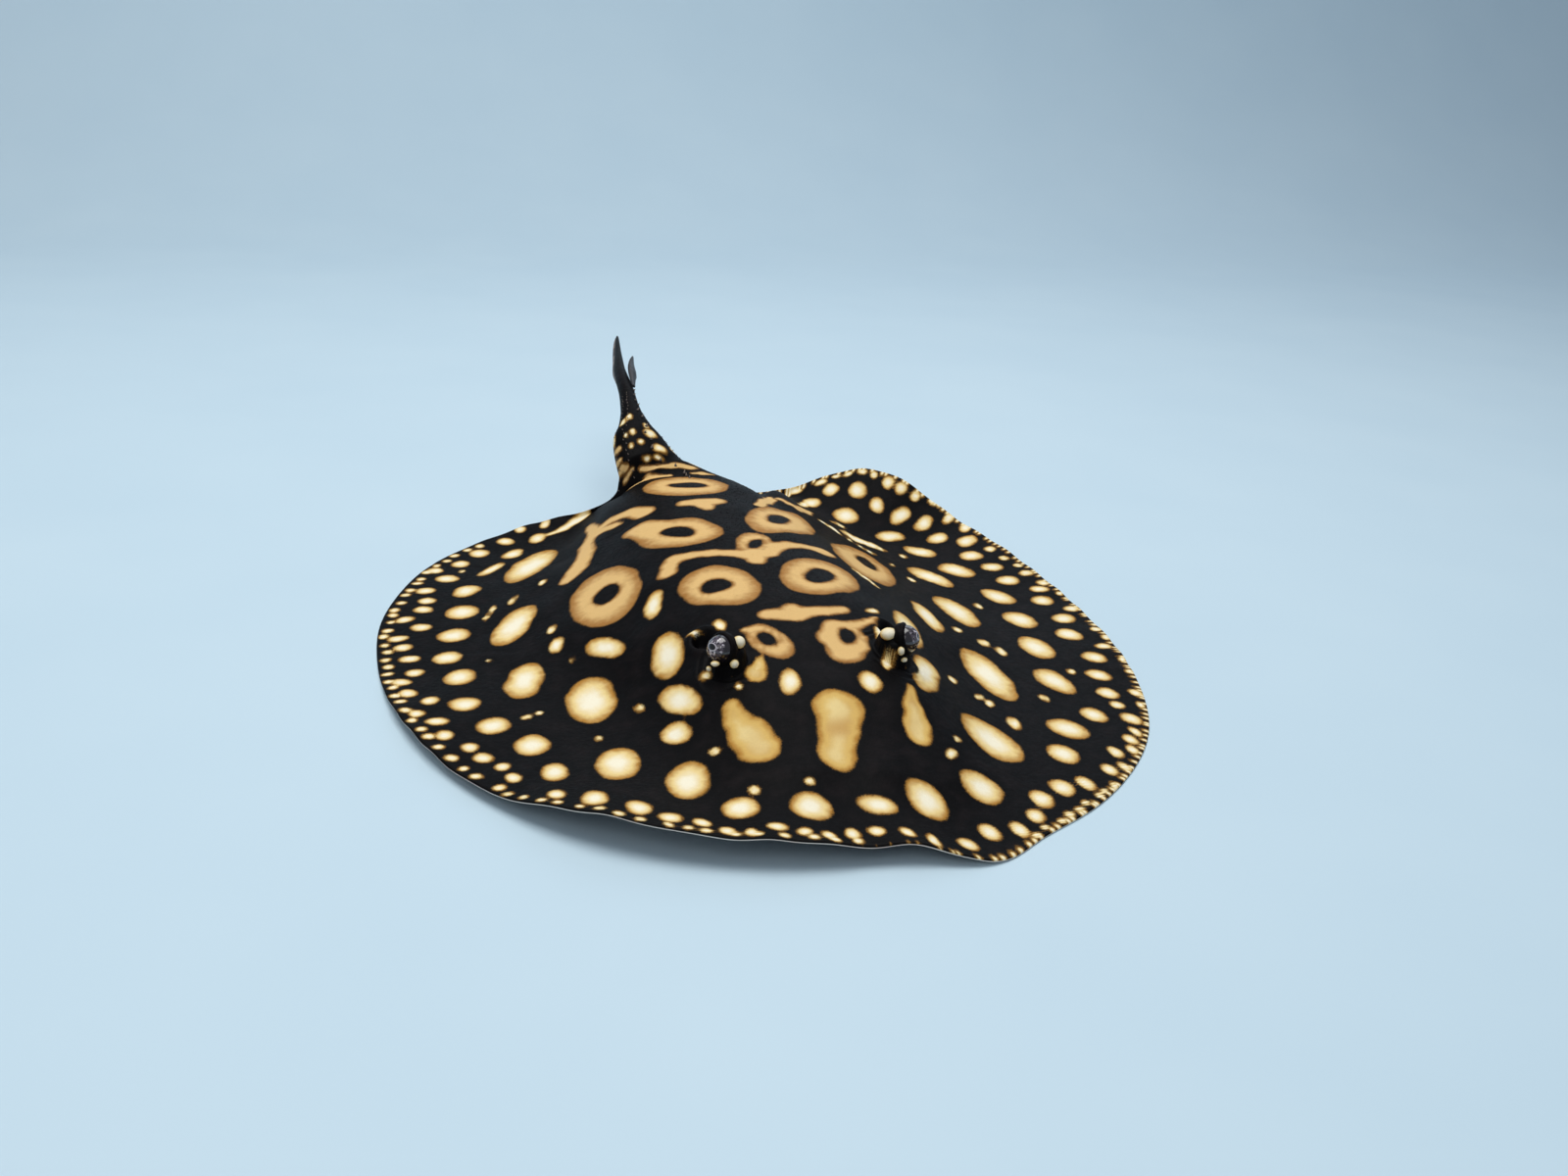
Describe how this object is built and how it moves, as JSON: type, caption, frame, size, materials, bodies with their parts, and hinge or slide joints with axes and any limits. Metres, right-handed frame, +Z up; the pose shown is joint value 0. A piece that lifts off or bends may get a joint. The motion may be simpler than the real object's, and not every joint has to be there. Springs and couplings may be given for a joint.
{
  "type": "freshwater stingray",
  "caption": "Life-size still model of a spotted black freshwater stingray resting on its belly, fin margin wavy, tail held up and back.",
  "frame": {"origin": "on the ground, under the middle of the disc's widest line, where the flat belly rests", "axes": "+Z up, snout to -Y, tail to +Y, the animal's left is +X"},
  "size_m": [0.453, 0.7697, 0.1015],
  "materials": {
    "back_skin": "wet satin skin, black with tan rings",
    "fin_skin": "wet satin skin, black with cream spots",
    "tail_skin": "rough skin with pale thorns",
    "sting_bone": "dark sheathed sting",
    "eye": "wet eye"
  },
  "bodies": {
    "root": {"head": "back_skin", "trunk": "back_skin", "pectoral_fin_left": "fin_skin", "pectoral_fin_right": "fin_skin", "pelvic_fin_left": "fin_skin", "pelvic_fin_right": "fin_skin", "tail_base": "tail_skin", "tail_middle": "tail_skin", "tail_tip": "tail_skin", "tail_sting": "sting_bone", "eye_left": "eye", "eye_right": "eye"}
  },
  "joints": []
}
